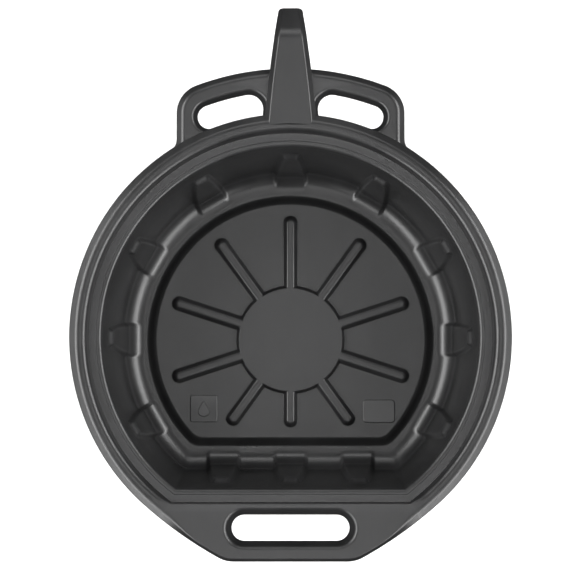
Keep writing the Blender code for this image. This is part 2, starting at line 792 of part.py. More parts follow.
def hook_tongue(outline):
    """The tongue, hollow below, cut to sit on the bead's outer flank."""

    def section(y, half):
        top = half - TONGUE_SLOPE
        right = [
            (half + TONGUE_DRAFT, HEIGHT - TONGUE_DEPTH),
            (half, HEIGHT - 0.0065),
            (top + 0.0004, HEIGHT - 0.0010),
            (top - 0.0010, HEIGHT),
        ]
        return right + [(-x, z) for x, z in right[::-1]]

    def build(shape):
        loops = []
        for y, half in tongue_stations():
            loops.append([(x, *bend_tip(y, z)) for x, z in section(y, half)])
        rows = bridge(shape, loops, closed=False)
        shape.faces.new(rows[0])
        shape.faces.new(rows[-1])

    def build_hollow(shape):
        loops = []
        stations = [item for item in tongue_stations() if item[0] < flat_tip_y() - TONGUE_CORNER / 2]
        for y, half in stations[1:]:
            foot = half + TONGUE_DRAFT - WALL
            top = half - TONGUE_SLOPE - 0.0012
            low = HEIGHT - TONGUE_DEPTH - 0.0015
            ceiling = HEIGHT - WALL
            corners = [(foot, low), (foot - TONGUE_DRAFT, HEIGHT - 0.0075), (top, ceiling)]
            corners += [(-x, z) for x, z in corners[::-1]]
            loops.append([(x, *bend_tip(y, z)) for x, z in corners])
        rows = bridge(shape, loops, closed=False)
        shape.faces.new(rows[0])
        shape.faces.new(rows[-1])

    def build_seat(shape):
        """The bead's own section, one gap larger, along the tongue's root."""
        sections = []
        for k in range(17):
            angle = math.radians(78 + 24 * k / 16)
            edge = edge_radius(angle, outline)
            over = [(radius + GAP, z + GAP) for radius, z in flank_section(edge)[:5]]
            over = [(0.17, HEIGHT + GAP)] + over
            under = [(over[-1][0], HEIGHT - 0.03), (0.17, HEIGHT - 0.03)]
            sections.append([polar(radius, angle, z) for radius, z in over + under])
        rows = bridge(shape, sections, closed=False)
        shape.faces.new(rows[0])
        shape.faces.new(rows[-1])

    tongue = add_object("hook_tongue", mesh_from("hook_tongue", build))
    join(tongue, cutter("tongue_hollow_tool", mesh_from("tongue_hollow_tool", build_hollow)), "DIFFERENCE")
    join(tongue, cutter("tongue_seat_tool", mesh_from("tongue_seat_tool", build_seat)), "DIFFERENCE")
    return tongue


def main():
    clear_scene()
    outline = front_outline()
    floor_panel()
    foot_ring()
    heel_ring()
    bowl_wall()
    mouth_ledge()
    rim_bead(outline)
    front_grip(outline)
    side_grip("left_grip", 1)
    side_grip("right_grip", -1)
    hook_tongue(outline)


main()
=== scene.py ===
import math

import bmesh
import bpy
import numpy as np
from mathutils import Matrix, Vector
from mathutils.geometry import tessellate_polygon


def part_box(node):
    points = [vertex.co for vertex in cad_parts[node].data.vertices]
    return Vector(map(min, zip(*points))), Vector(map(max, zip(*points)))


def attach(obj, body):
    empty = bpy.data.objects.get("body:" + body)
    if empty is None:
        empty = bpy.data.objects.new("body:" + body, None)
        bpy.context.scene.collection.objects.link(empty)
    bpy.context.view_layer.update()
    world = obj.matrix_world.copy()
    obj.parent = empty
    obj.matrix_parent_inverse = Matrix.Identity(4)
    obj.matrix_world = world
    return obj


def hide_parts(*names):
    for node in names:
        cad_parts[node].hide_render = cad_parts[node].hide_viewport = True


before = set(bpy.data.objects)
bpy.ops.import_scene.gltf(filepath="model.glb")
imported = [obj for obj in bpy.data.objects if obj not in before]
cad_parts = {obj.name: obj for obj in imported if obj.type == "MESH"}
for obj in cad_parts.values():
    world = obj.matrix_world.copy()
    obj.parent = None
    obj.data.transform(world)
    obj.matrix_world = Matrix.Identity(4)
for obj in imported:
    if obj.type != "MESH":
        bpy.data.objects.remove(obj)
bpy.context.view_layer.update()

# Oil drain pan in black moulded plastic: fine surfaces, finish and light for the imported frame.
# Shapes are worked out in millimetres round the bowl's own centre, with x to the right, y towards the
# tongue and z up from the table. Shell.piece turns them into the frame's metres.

MM = 0.001
OVAL = 1.010             # the pan's length over its width, ring by ring
HEIGHT = 125.0           # top of the rim bead
RIM_RADIUS = 200.0
WALL = 3.0
BEAD_FOOT = 182.4        # radius where the rim bead rises from the ledge
BOWL_CENTRE_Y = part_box("rim_bead")[1].y / MM - RIM_RADIUS * OVAL
UP = (0.0, 0.0, 1.0)
CREASE = math.cos(math.radians(32))   # a surface that turns more than this gets a crisp edge


def ease(share):
    """0 to 1 with a smooth start and end."""
    share = min(1.0, max(0.0, share))
    return share * share * (3 - 2 * share)


def spread(near, far, count):
    """count evenly spread values strictly between two."""
    return [near + (far - near) * k / (count + 1) for k in range(1, count + 1)]


def flared_edge(depth, roll, lean):
    """A leaning side with a rolled top edge, from its foot up, as (distance in, drop from the top)."""
    run = (depth - roll * (1 - math.cos(lean))) / math.tan(lean)
    edge = [(run * k / 4, depth - run * math.tan(lean) * k / 4) for k in range(4)]
    for k in range(11):
        tilt = lean * (1 - k / 10)
        edge.append((run + roll * (math.sin(lean) - math.sin(tilt)), roll * (1 - math.cos(tilt))))
    return edge


# ---------------------------------------------------------------- surfaces


def band_normals(grid, wrap):
    """Smooth normals along both edges of each band of quads between two rows of a grid."""
    after = np.roll(grid, -1, axis=1) if wrap else grid[:, 1:]
    here = grid if wrap else grid[:, :-1]
    cells = np.cross(after[1:] - here[:-1], here[1:] - after[:-1])
    if wrap:
        sums = cells + np.roll(cells, 1, axis=1)
    else:
        sums = np.zeros((cells.shape[0], grid.shape[1], 3))
        sums[:, :-1] += cells
        sums[:, 1:] += cells
    steps = np.diff(grid, axis=0)
    lengths = np.linalg.norm(steps, axis=2)
    near = sums.copy()
    far = sums.copy()
    for row in range(1, len(sums)):
        size = np.maximum(lengths[row - 1] * lengths[row], 1e-12)
        turn = np.median(np.sum(steps[row - 1] * steps[row], axis=1) / size)
        if turn > CREASE:
            near[row] += sums[row - 1]
            far[row - 1] += sums[row]
    for part in (near, far):
        part /= np.maximum(np.linalg.norm(part, axis=2, keepdims=True), 1e-12)
    return near, far


class Shell:
    """One closed surface, gathered from grids and flat fills, with its own smooth normals."""

    def __init__(self):
        self.index = {}
        self.points = []
        self.faces = []
        self.normals = []

    def vertex(self, point):
        key = tuple(round(float(value) * 1000) for value in point)
        if key not in self.index:
            self.index[key] = len(self.points)
            self.points.append(tuple(float(value) for value in point))
        return self.index[key]

    def face(self, corners, normals):
        kept = {}
        for corner, normal in zip(corners, normals):
            kept.setdefault(corner, normal)
        if len(kept) > 2:
            self.faces.append(tuple(kept))
            self.normals.append(kept)

    def bands(self, grid, normals, first, last, wrap):
        """Adds the quads between the rows first and last of a grid."""
        near, far = normals
        ids = [[self.vertex(point) for point in row] for row in grid[first : last + 1]]
        columns = grid.shape[1]
        for row in range(last - first):
            for k in range(columns if wrap else columns - 1):
                n = (k + 1) % columns
                corners = (ids[row][k], ids[row][n], ids[row + 1][n], ids[row + 1][k])
                low, high = near[first + row], far[first + row]
                self.face(corners, (low[k], low[n], high[n], high[k]))

    def sheet(self, rows, wrap=False, first=None, last=None):
        """A whole grid. first and last can set the normals of its border rows; zeros leave them."""
        grid = np.array(rows, float)
        near, far = band_normals(grid, wrap)
        for border, given in ((near[0], first), (far[-1], last)):
            if given is not None:
                wanted = np.broadcast_to(np.array(given, float), border.shape)
                chosen = np.abs(wanted).sum(axis=1) > 0
                border[chosen] = wanted[chosen]
        self.bands(grid, (near, far), 0, len(grid) - 1, wrap)

    def fill(self, loops):
        """A flat face inside the first loop, with the other loops as holes."""
        ring = np.array(loops[0], float)
        normal = np.cross(ring, np.roll(ring, -1, axis=0)).sum(axis=0)
        normal /= np.linalg.norm(normal)
        ids = [self.vertex(point) for loop in loops for point in loop]
        for corners in tessellate_polygon([[Vector(point) for point in loop] for loop in loops]):
            self.face([ids[k] for k in corners], [normal] * 3)

    def piece(self, name, node, mirror=False):
        """Makes the object, turns every face out, and lets it stand for its CAD node."""
        points = np.array(self.points)
        side = -1.0 if mirror else 1.0
        points = (points * (side, 1, 1) + (0, BOWL_CENTRE_Y, 0)) * MM
        mesh = bpy.data.meshes.new(name)
        mesh.from_pydata(points.tolist(), [], self.faces)
        shape = bmesh.new()
        shape.from_mesh(mesh)
        bmesh.ops.recalc_face_normals(shape, faces=shape.faces)
        shape.to_mesh(mesh)
        shape.free()
        corner_normals = []
        for polygon, normals in zip(mesh.polygons, self.normals):
            outward = np.array(polygon.normal)
            for vertex in polygon.vertices:
                normal = np.array(normals[vertex]) * (side, 1, 1)
                corner_normals.append(normal if normal @ outward > 0 else -normal)
        mesh.polygons.foreach_set("use_smooth", [True] * len(mesh.polygons))
        mesh.normals_split_custom_set(corner_normals)
        item = bpy.data.objects.new(name, mesh)
        bpy.context.collection.objects.link(item)
        item.data.materials.append(PLASTIC)
        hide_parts(node)
        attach(item, "root")
        return item


# ---------------------------------------------------------------- bowl

FLOOR_Z = 8.4
FLOOR_RADIUS = 126.0
SLOPE_FOOT = 135.5
STAND_EDGE = 131.5       # inner edge of the face that the pan stands on
UNDER_SHIFT = 1.5        # the underside starts to slope this much further in
FILLET_START = 138.2
FILLET_RADIUS = 20.0
DRAFT = math.radians(7.4)
LEDGE_Z = 118.0
MOUTH_Z = 117.4
MOUTH_ROLL = 4.5
LUG_DEPTH = 4.9
LUG_FOOT_DEPTH = 1.2     # where a lug runs out into the gutter
LUG_TOP = 91.0
LUG_SHELF = 7.5
LUG_TOP_HALF = 5.5       # half width at the top, which grows downwards in an arch
LUG_FOOT_HALF = 15.0
LUG_ARCH = 0.6           # power of the arch: 1 would give straight sides
LUG_RAMP = 5.0           # run of a lug's sloping side
LUG_ARCH_ROWS = 34.0     # the arch of the lugs' sides gets finer rows over this height
LUG_ANGLES = [math.radians(30 * step) for step in range(-1, 8)]
CHORD_LUGS = (-63.0, 0.0, 63.0)
CHORD_CUT = 35.0         # how far inside its circle the flat side lies, at the table
CHORD_CUT_LOSS = 1.7     # and how much less at the top
CORNER_LEVELS = (3, 27, 118)
CORNER_RADII = (15.5, 13, 2.6)
LEDGE_STEP = 175.5       # where the mouth's lip steps up to the ledge
LEDGE_STEP_RUN = 0.5
LEDGE_RADII = (176.6, 179.5, BEAD_FOOT + 0.6)   # the last one ends inside the bead

# How finely the bowl's grid is divided
RAMP_STEPS = 6
ARC_POINTS = 8           # between two lugs on the round wall
CHORD_POINTS = 4         # between two lugs on the flat side
CORNER_STEPS = 8
SLOPE_ROWS = 12
FILLET_ROWS = 24
HEEL_ROWS = (8, 19)      # the heel ring starts and ends this many rows after the slope's foot
LOW_WALL_LEVELS = (25, 35, 45)
HIGH_WALL_LEVELS = (95, 100, 105, 110)


class Ring:
    """A level line of the bowl: a circle cut by a chord, with two rounded corners."""

    def __init__(self, radius, z, grown=0.0):
        cut = CHORD_CUT - CHORD_CUT_LOSS * z / HEIGHT
        self.radius = radius
        self.chord = (radius - cut) / OVAL
        self.corner = float(np.interp(z, CORNER_LEVELS, CORNER_RADII)) + grown
        self.corner_y = self.chord - self.corner
        self.corner_x = math.sqrt((radius - self.corner) ** 2 - self.corner_y**2)
        self.dip = math.atan2(self.corner_y, self.corner_x)

    def on_arc(self, angle):
        return self.radius * math.cos(angle), self.radius * math.sin(angle) * OVAL

    def on_corner(self, side, share):
        """share runs from 0 on the arc to 1 on the chord; side is -1 for left, 1 for right."""
        angle = self.dip + (math.pi / 2 - self.dip) * share
        x = self.corner_x + self.corner * math.cos(angle)
        return side * x, -(self.corner_y + self.corner * math.sin(angle)) * OVAL

    def on_chord(self, x):
        return x, -self.chord * OVAL


def lug_stations(half):
    """(offset from a lug's middle, share of its depth) for the points across it."""
    edge = half - LUG_RAMP / 2
    shares = [k / RAMP_STEPS for k in range(RAMP_STEPS + 1)]
    ramp = [(edge + LUG_RAMP * (1 - share), ease(share)) for share in shares]
    face = [(offset, 1.0) for offset in spread(-edge, edge, RAMP_STEPS - 1)]
    return [(-offset, share) for offset, share in ramp] + face + ramp[::-1]


def bowl_loop(ring, z, half, depth):
    """The bowl's level line with its twelve lugs, anticlockwise from the right-hand corner."""
    stations = lug_stations(half)
    reach = stations[-1][0]
    turn = reach / ring.radius
    edges = [-ring.dip] + LUG_ANGLES + [math.pi + ring.dip]
    loop = [ring.on_arc(angle) for angle in spread(edges[0], edges[1] - turn, ARC_POINTS)]
    for middle, following in zip(edges[1:], edges[2:]):
        for offset, share in stations:
            angle = offset / ring.radius
            push = share * max(0.0, depth - ring.radius * (1 - math.cos(angle)))
            x, y = ring.on_arc(middle + angle)
            loop.append((x - push * math.cos(middle), y - push * math.sin(middle)))
        margin = turn if following != edges[-1] else 0.0
        loop += [ring.on_arc(angle) for angle in spread(middle + turn, following - margin, ARC_POINTS)]
    corner = [k / CORNER_STEPS for k in range(CORNER_STEPS + 1)]
    loop += [ring.on_corner(-1, share) for share in corner]
    walls = [-ring.corner_x - reach, *CHORD_LUGS, ring.corner_x + reach]
    loop += [ring.on_chord(x) for x in spread(-ring.corner_x, walls[1] - reach, CHORD_POINTS)]
    for middle, following in zip(walls[1:], walls[2:]):
        for offset, share in stations:
            x, y = ring.on_chord(middle + offset)
            loop.append((x, y + share * depth))
        loop += [ring.on_chord(x) for x in spread(middle + reach, following - reach, CHORD_POINTS)]
    loop += [ring.on_corner(1, share) for share in corner[::-1]]
    return [(x, y, z) for x, y in loop]


def lug_half(z):
    """A lug's half width at a level."""
    share = min(1.0, max(0.0, (LUG_TOP - z) / LUG_TOP))
    return LUG_TOP_HALF + (LUG_FOOT_HALF - LUG_TOP_HALF) * share**LUG_ARCH


def lug_depth(z):
    """How far a lug stands out of the wall at a level."""
    turned = 1 - min(1.0, (z - WALL) / FILLET_RADIUS)
    fillet = math.sqrt(1 - turned**2)
    return ease((LUG_TOP - z) / LUG_SHELF) * (LUG_FOOT_DEPTH + (LUG_DEPTH - LUG_FOOT_DEPTH) * fillet)


def wall_radius(z):
    foot = FILLET_START + FILLET_RADIUS * math.cos(DRAFT)
    foot_z = WALL + FILLET_RADIUS * (1 - math.sin(DRAFT))
    return foot + (z - foot_z) * math.tan(DRAFT)


def slope_rows():
    """The flat floor's edge and the slope down to the gutter."""
    rows = []
    inner = FLOOR_RADIUS - UNDER_SHIFT
    for k in range(SLOPE_ROWS + 1):
        share = k / SLOPE_ROWS
        fall = (FLOOR_Z - WALL) * ease(share)
        radius = FLOOR_RADIUS + (SLOPE_FOOT - FLOOR_RADIUS) * share
        under = (inner + (STAND_EDGE - inner) * share, FLOOR_Z - WALL - fall)
        rows.append((radius, FLOOR_Z - fall, *under, None))
    rows.append((FILLET_START, WALL, FILLET_START, 0.0, WALL))
    return rows


def fillet_rows():
    """The big fillet between the gutter and the wall."""
    rows = []
    centre_z = WALL + FILLET_RADIUS
    outer = FILLET_RADIUS + WALL
    for k in range(1, FILLET_ROWS + 1):
        tilt = (math.pi / 2 - DRAFT) * k / FILLET_ROWS
        z = centre_z - FILLET_RADIUS * math.cos(tilt)
        under = (FILLET_START + outer * math.sin(tilt), centre_z - outer * math.cos(tilt))
        rows.append((FILLET_START + FILLET_RADIUS * math.sin(tilt), z, *under, z))
    return rows


def wall_rows():
    """The drafted wall, with finer rows over the tops of the lugs."""
    shelf = [LUG_TOP - LUG_SHELF * (1 - k / 8) for k in range(9)]
    below = [LUG_TOP - LUG_SHELF - drop for drop in spread(LUG_ARCH_ROWS, 0, 8)]
    levels = [*LOW_WALL_LEVELS, *below, *shelf, *HIGH_WALL_LEVELS]
    return [(wall_radius(z), z, wall_radius(z - WALL) + WALL, z - WALL, z) for z in levels]


def mouth_rows():
    """The rolled mouth, the small step behind it, and the ledge up to the bead."""
    rows = []
    under_z = LEDGE_Z - WALL
    roll_z = MOUTH_Z - MOUTH_ROLL
    roll_radius = wall_radius(roll_z) + MOUTH_ROLL / math.cos(DRAFT)
    bend = 2.0
    for k in range(11):
        tilt = (math.pi / 2 - DRAFT) * (1 - k / 10)
        turn = math.pi / 2 * k / 10
        top = (roll_radius - MOUTH_ROLL * math.sin(tilt), roll_z + MOUTH_ROLL * math.cos(tilt))
        under_radius = wall_radius(under_z - bend) + WALL + bend * (1 - math.cos(turn))
        rows.append((*top, under_radius, under_z - bend * (1 - math.sin(turn)), None))
    for k in range(5):
        radius = LEDGE_STEP + LEDGE_STEP_RUN * k / 4
        rise = (LEDGE_Z - MOUTH_Z) * ease(k / 4)
        rows.append((radius, MOUTH_Z + rise, radius + LEDGE_STEP_RUN, under_z, None))
    for radius in LEDGE_RADII:
        rows.append((radius, LEDGE_Z, radius + 0.01, under_z + 0.02, None))
    return rows


def bowl_rows():
    """The bowl's section, floor to bead: (top radius, top z, under radius, under z, lug level).

    The underside follows the lugs at its own height plus one wall thickness, and a lug level of None
    means no lugs.
    """
    return slope_rows() + fillet_rows() + wall_rows() + mouth_rows()


def bowl_grids():
    """The bowl's top and underside as grids of points that share their rows and columns."""
    top, under = [], []
    for radius, z, under_radius, under_z, level in bowl_rows():
        half = lug_half(LUG_TOP if level is None else level)
        depth = 0.0 if level is None else lug_depth(level)
        top.append(bowl_loop(Ring(radius, z), z, half, depth))
        grown = max(0.0, under_radius - radius)
        under.append(bowl_loop(Ring(under_radius, z, grown), under_z, half, depth))
    return np.array(top), np.array(under)


def bowl_pieces():
    """Cuts the bowl's grids into the frame's sections, whose shading runs on across the cuts."""
    top, under = bowl_grids()
    top_normals = band_normals(top, wrap=True)
    top_normals[0][0] = UP
    under_normals = band_normals(under, wrap=True)
    under_normals[0][0] = UP
    heel_start, heel_end = (SLOPE_ROWS + row for row in HEEL_ROWS)
    ledge_start = len(top) - 1 - len(LEDGE_RADII)
    cuts = [0, SLOPE_ROWS, heel_start, heel_end, ledge_start, len(top) - 1]
    nodes = ("floor_panel", "foot_ring", "heel_ring", "bowl_wall", "mouth_ledge")
    for node, first, last in zip(nodes, cuts, cuts[1:]):
        shell = Shell()
        shell.bands(top, top_normals, first, last, True)
        shell.bands(under, under_normals, first, last, True)
        shell.sheet([top[last], under[last]], wrap=True)
        if first == 0:
            shell.fill([under[0]])
            dress_floor(shell, top[0])
        else:
            shell.sheet([top[first], under[first]], wrap=True)
        shell.piece(node + "_skin", node)


# ---------------------------------------------------------------- floor emboss

RIB_COUNT = 10
RIB_REACH = 117.6
SHORT_RIB_REACH = {4: 99.2, 5: 83.1, 6: 99.2}
RIB_FOOT_HALF = 7.63
RIB_CREST = (1.3, 3.6)      # half the flat top, and the radius of the roll beside it
RIB_FOOT_ROLL = 1.7
RIB_SLOPE = math.radians(52)
STAR_HEIGHT = 4.8
DISC_FOOT = 51.4
DISC_RUN = 3.6              # how far the disc's side slopes in
STAR_FILLET = 1.4           # in the corner between the disc and a rib


def star_levels():
    """Sections of the star's sides as (rib half width, disc radius, height over the floor)."""
    flat, crest = RIB_CREST
    sides = []
    for k in range(7):
        tilt = RIB_SLOPE * k / 6
        half = RIB_FOOT_HALF - RIB_FOOT_ROLL * math.sin(tilt)
        sides.append((half, RIB_FOOT_ROLL * (1 - math.cos(tilt))))
    for k in range(13):
        tilt = RIB_SLOPE * (1 - k / 12)
        sides.append((flat + crest * math.sin(tilt), STAR_HEIGHT - crest * (1 - math.cos(tilt))))
    run = RIB_FOOT_HALF - flat
    return [(half, DISC_FOOT - DISC_RUN * (RIB_FOOT_HALF - half) / run, height) for half, height in sides]


def star_loop(half, disc, height):
    """The star's outline at one level: a disc with ten round-ended ribs."""
    reach = math.sqrt((disc + STAR_FILLET) ** 2 - (half + STAR_FILLET) ** 2)
    lean = math.atan2(half + STAR_FILLET, reach)
    points = []
    for rib in range(RIB_COUNT):
        middle = math.pi / 2 + rib * math.tau / RIB_COUNT
        end = SHORT_RIB_REACH.get(rib, RIB_REACH) - RIB_FOOT_HALF
        # (along the rib, across it) for the right-hand half, then mirrored for the left
        right = []
        for k in range(4):
            angle = -math.pi / RIB_COUNT + (math.pi / RIB_COUNT - lean) * k / 4
            right.append((disc * math.cos(angle), disc * math.sin(angle)))
        for k in range(7):
            angle = math.pi - lean + (lean - math.pi / 2) * k / 6
            along = reach + STAR_FILLET * math.cos(angle)
            right.append((along, STAR_FILLET * math.sin(angle) - half - STAR_FILLET))
        right += [(along, -half) for along in spread(reach, end, 12)]
        for k in range(10):
            angle = k * math.pi / 20
            right.append((end + half * math.sin(angle), -half * math.cos(angle)))
        left = [(along, -across) for along, across in right[::-1]]
        for along, across in right + [(end + half, 0.0)] + left[:-1]:
            x = along * math.cos(middle) - across * math.sin(middle)
            y = along * math.sin(middle) + across * math.cos(middle)
            points.append((x, y, FLOOR_Z + height))
    return points


def rounded_box(centre, size, corner, height):
    """A rectangle with round corners, anticlockwise."""
    points = []
    for quarter, (right, upper) in enumerate(((1, 1), (-1, 1), (-1, -1), (1, -1))):
        for k in range(7):
            angle = math.pi / 2 * (quarter + k / 6)
            x = centre[0] + right * (size[0] / 2 - corner) + corner * math.cos(angle)
            y = centre[1] + upper * (size[1] / 2 - corner) + corner * math.sin(angle)
            points.append((x, y, height))
    return points


def drop_loop(centre, size, height):
    """A plain drop with its point up."""
    points = []
    for k in range(64):
        turn = math.tau * k / 64
        x = centre[0] + size * 0.5 * math.sin(turn) * math.sin(turn / 2) ** 1.5
        points.append((x, centre[1] + size * 0.5 * math.cos(turn), height))
    return points


# The marks' raised edges as (growth in width, height over what they stand on)
MARK_EDGE = ((0.0, 0.0), (-0.5, 0.6), (-1.4, 0.9))
DROP_EDGE = ((0.0, 0.0), (-0.5, 0.6), (-1.2, 0.8))
SQUARE_CENTRE = (-81.7, -64.9)
SQUARE_SIDE = 25.5
SQUARE_CORNER = 2.0
OBLONG_CENTRE = (83.3, -67.3)
OBLONG_SIZE = (30.0, 21.7)
OBLONG_CORNER = 3.0
DROP_SIZE = 15.0


def dress_floor(shell, border):
    """The floor's flat top with the star and two raised marks standing on it."""
    star = [star_loop(*level) for level in star_levels()]
    shell.sheet(star, wrap=True, first=UP, last=UP)
    shell.fill([star[-1]])
    square, oblong, drop = [], [], []
    for grown, rise in MARK_EDGE:
        z = FLOOR_Z + rise
        side = SQUARE_SIDE + grown
        size = (OBLONG_SIZE[0] + grown, OBLONG_SIZE[1] + grown)
        square.append(rounded_box(SQUARE_CENTRE, (side, side), SQUARE_CORNER + grown / 2, z))
        oblong.append(rounded_box(OBLONG_CENTRE, size, OBLONG_CORNER, z))
    high = FLOOR_Z + MARK_EDGE[-1][1]
    for grown, rise in DROP_EDGE:
        drop.append(drop_loop(SQUARE_CENTRE, DROP_SIZE + grown, high + rise))
    for rows in (square, oblong, drop):
        shell.sheet(rows, wrap=True)
    shell.fill([square[-1], drop[0]])
    shell.fill([oblong[-1]])
    shell.fill([drop[-1]])
    shell.fill([border, star[0], square[0], oblong[0]])


# ---------------------------------------------------------------- rim bead and front grip

BEAD_ROLL = 6.5
FRONT_EDGE = 202.7
FRONT_CORNER = 29.0
FRONT_CORNER_ANGLE = math.radians(29)
FRONT_LEAVE_ANGLE = math.radians(42)
STEP_Y = -149.1          # foot of the crisp step along the flat side
SEAM_X = math.sqrt(BEAD_FOOT**2 - (STEP_Y / OVAL) ** 2)
SEAM_ANGLE = math.atan2(STEP_Y, SEAM_X)
SEAM_RUN = 15.0          # length over which the bead's inner roll tightens before a seam
SEAM_ROLL = 1.0
SEAM_LEAN = 80.0         # degrees
BEAD_LEAN = 65.0
FLANK = 9.4              # width of the bead's outer flank
FLANK_ROLL = 8.0
FLANK_SLOPE = 33.0       # degrees
EDGE_ROLL = 1.2
SKIRT_Z = HEIGHT - 15.0
SKIRT_EDGE = 0.3         # the skirts' feet are chamfered this much
# Undersides as (distance in from the edge, z) and (distance out from the bead's foot, z)
FLANK_UNDER = ((2.9, 117.6), (3.6, 119.3), (6.0, 121.2), (FLANK + 0.2, HEIGHT - WALL))
BEAD_UNDER = ((7.5, HEIGHT - WALL), (4.6, 119.5), (3.1, 115.6), (2.9, 115.0))
BEAD_COLUMNS = 560
GRIP_COLUMNS = 240
STEP_COLUMNS = 81
FLANK_RUNOUT = 40        # columns of the front grip over which the flank narrows
FLANK_NARROW = 0.38      # to this share of its width
FLANK_TOP_ROWS = 15      # rows of the flank above the skirt
SLOT_Y = -172.5
SLOT_LENGTH = 106.4
SLOT_WIDTH = 23.4
SLOT_EDGE = (14.7, 5.0, math.radians(72))   # depth, roll and lean of the slot's flared side
SLOT_UNDER_GROW = 0.8    # the collar meets the plate's underside this far outside the flare


def front_outline():
    """The flat side's outer edge from the round rim on the left to its middle."""
    leave, turn = FRONT_LEAVE_ANGLE, FRONT_CORNER_ANGLE
    x0, y0 = -RIM_RADIUS * math.sin(leave), -RIM_RADIUS * OVAL * math.cos(leave)
    drop = y0 + FRONT_EDGE - FRONT_CORNER * (1 - math.cos(turn))
    blend = drop / (math.cos(turn) - math.cos(leave))
    points = []
    for k in range(61):
        angle = leave + (turn - leave) * k / 60
        x = x0 + blend * (math.sin(leave) - math.sin(angle))
        points.append((x, y0 - blend * (math.cos(angle) - math.cos(leave))))
    foot_x = points[-1][0] + FRONT_CORNER * math.sin(turn)
    for k in range(1, 41):
        angle = turn * (1 - k / 40)
        x = foot_x - FRONT_CORNER * math.sin(angle)
        points.append((x, -FRONT_EDGE + FRONT_CORNER * (1 - math.cos(angle))))
    return points


def edge_radius(angle, outline):
    """Distance from the bowl's centre to the pan's outer edge in a direction.

    The outline is the left half of the flat side's edge; the right half mirrors it.
    """
    across, along = -abs(math.cos(angle)), math.sin(angle)
    for (x0, y0), (x1, y1) in zip(outline, outline[1:]):
        turn = across * (y1 - y0) - along * (x1 - x0)
        if abs(turn) < 1e-12:
            continue
        reach = (x0 * (y1 - y0) - y0 * (x1 - x0)) / turn
        share = (x0 * along - y0 * across) / turn
        if reach > 0 and -1e-9 <= share <= 1 + 1e-9:
            return reach
    return 1 / math.hypot(across / RIM_RADIUS, along / (RIM_RADIUS * OVAL))


def rim_edge():
    """Points and outward normals along the whole outer edge, from the right seam anticlockwise."""
    outline = front_outline()
    outline.append((0.0, -FRONT_EDGE))
    bead = np.linspace(SEAM_ANGLE, math.pi - SEAM_ANGLE, BEAD_COLUMNS + 1)
    grip = np.linspace(math.pi - SEAM_ANGLE, math.tau + SEAM_ANGLE, GRIP_COLUMNS + 1)[1:-1]
    angles = np.concatenate([bead, grip])
    reach = np.array([edge_radius(angle, outline) for angle in angles])
    points = np.stack([np.cos(angles) * reach, np.sin(angles) * reach], axis=1)
    along = np.roll(points, -1, axis=0) - np.roll(points, 1, axis=0)
    normals = np.stack([along[:, 1], -along[:, 0]], axis=1)
    normals /= np.linalg.norm(normals, axis=1, keepdims=True)
    return angles, points, normals


def flank_section():
    """The bead's outer flank, skirt and underside as (distance in from the edge, z)."""
    section = []
    for k in range(8):
        tilt = math.radians(FLANK_SLOPE * k / 7)
        section.append((FLANK - FLANK_ROLL * math.sin(tilt), HEIGHT - FLANK_ROLL * (1 - math.cos(tilt))))
    foot = section[-1]
    start = math.radians(FLANK_SLOPE)
    roll_z = foot[1] - (foot[0] - EDGE_ROLL * (1 - math.sin(start))) * math.tan(start)
    roll_z -= EDGE_ROLL * math.cos(start)
    for k in range(7):
        tilt = start + (math.pi / 2 - start) * k / 6
        section.append((EDGE_ROLL * (1 - math.sin(tilt)), roll_z + EDGE_ROLL * math.cos(tilt)))
    section += [(0.0, SKIRT_Z + 0.4), (SKIRT_EDGE, SKIRT_Z), (WALL - SKIRT_EDGE, SKIRT_Z)]
    return section + list(FLANK_UNDER)


def rise_section(roll, lean):
    """The bead's inner face as (distance out from its foot, z), with a top roll of a given radius."""
    lean = math.radians(lean)
    centre_z = HEIGHT - roll
    run = (centre_z + roll * math.cos(lean) - LEDGE_Z) / math.tan(lean)
    centre = run + roll * math.sin(lean)
    section = [(0.0, LEDGE_Z - WALL), (0.0, LEDGE_Z)]
    for k in range(11):
        tilt = lean * (1 - k / 10)
        section.append((centre - roll * math.sin(tilt), centre_z + roll * math.cos(tilt)))
    return section


def flank_rows(points, normals):
    rows = []
    for inset, z in flank_section():
        flat = points - normals * inset
        rows.append(np.column_stack([flat, np.full(len(flat), z)]))
    return np.array(rows)


def rim_bead(angles, points, normals):
    """The rolled rim from seam to seam. Its inner roll tightens just before each seam."""
    count = BEAD_COLUMNS + 1
    flank = flank_rows(points[:count], normals[:count])
    widening = 1 / abs(math.sin(SEAM_ANGLE))
    rises, unders = [], []
    for angle in angles[:count]:
        near_seam = min(angle - angles[0], angles[count - 1] - angle) * BEAD_FOOT
        free = ease(near_seam / SEAM_RUN)
        scale = widening + (1 - widening) * free
        foot = 1 / math.hypot(math.cos(angle) / BEAD_FOOT, math.sin(angle) / (BEAD_FOOT * OVAL))
        roll = SEAM_ROLL + (BEAD_ROLL - SEAM_ROLL) * free
        rise = rise_section(roll, SEAM_LEAN - (SEAM_LEAN - BEAD_LEAN) * free)
        for section, rows in ((rise, rises), (BEAD_UNDER, unders)):
            reach = [(foot + out * scale, z) for out, z in section]
            rows.append([(r * math.cos(angle), r * math.sin(angle), z) for r, z in reach])
    rises = np.array(rises).transpose(1, 0, 2)
    unders = np.array(unders).transpose(1, 0, 2)
    grid = np.concatenate([rises, flank, unders, rises[:1]])
    shell = Shell()
    shell.sheet(grid)
    shell.fill([grid[:-1, 0]])
    shell.fill([grid[:-1, -1]])
    shell.piece("rim_bead_skin", "rim_bead")


